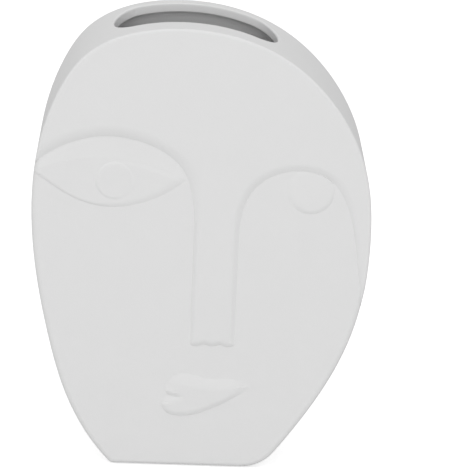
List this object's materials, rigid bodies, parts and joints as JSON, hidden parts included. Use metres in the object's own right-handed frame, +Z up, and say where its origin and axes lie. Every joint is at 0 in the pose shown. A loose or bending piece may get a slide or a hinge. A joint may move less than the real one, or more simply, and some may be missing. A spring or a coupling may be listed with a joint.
{
  "type": "face vase",
  "caption": "Flat-fronted matte ceramic vase in the shape of a face, with raised brow, nose, eyes and lips, a slot-shaped mouth in its top edge and soft feet.",
  "frame": {"origin": "middle of the vase's width and depth, on the surface it stands on", "axes": "+Z up, -Y out of the face towards the viewer, +X to the viewer's right"},
  "size_m": [0.1979, 0.072, 0.27],
  "materials": {
    "matte_ceramic": "white, unglazed, fine dry matte",
    "foot_felt": "pressed grey felt"
  },
  "bodies": {
    "root": {"vase_body": "matte_ceramic", "brow_and_nose": "matte_ceramic", "upper_eyelid": "matte_ceramic", "eyeball": "matte_ceramic", "iris": "matte_ceramic", "round_eye": "matte_ceramic", "upper_lip": "matte_ceramic", "lower_lip": "matte_ceramic", "foot_left_front": "foot_felt", "foot_left_back": "foot_felt", "foot_right_front": "foot_felt", "foot_right_back": "foot_felt"}
  },
  "joints": []
}
